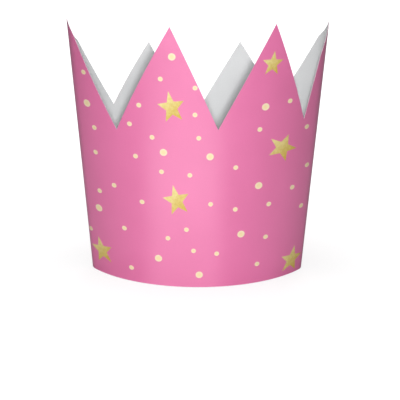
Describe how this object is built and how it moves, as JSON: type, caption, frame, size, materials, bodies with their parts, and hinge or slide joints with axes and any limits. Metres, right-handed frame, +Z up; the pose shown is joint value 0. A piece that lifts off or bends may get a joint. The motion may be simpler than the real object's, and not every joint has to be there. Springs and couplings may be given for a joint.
{
  "type": "paper crown",
  "caption": "Oval party crown rolled from one sheet of printed card, with pointed spikes and a glued lap at the back.",
  "frame": {"origin": "middle of the oval head opening, in the plane of the bottom rim", "axes": "+Z up through the opening towards the spikes, +X towards the wearer's left, -Y to the front"},
  "size_m": [0.2319, 0.1493, 0.238],
  "materials": {
    "card": "satin pink print with pale gold stars and dots outside, plain uncoated white inside"
  },
  "bodies": {
    "root": {"crown": "card"}
  },
  "joints": []
}
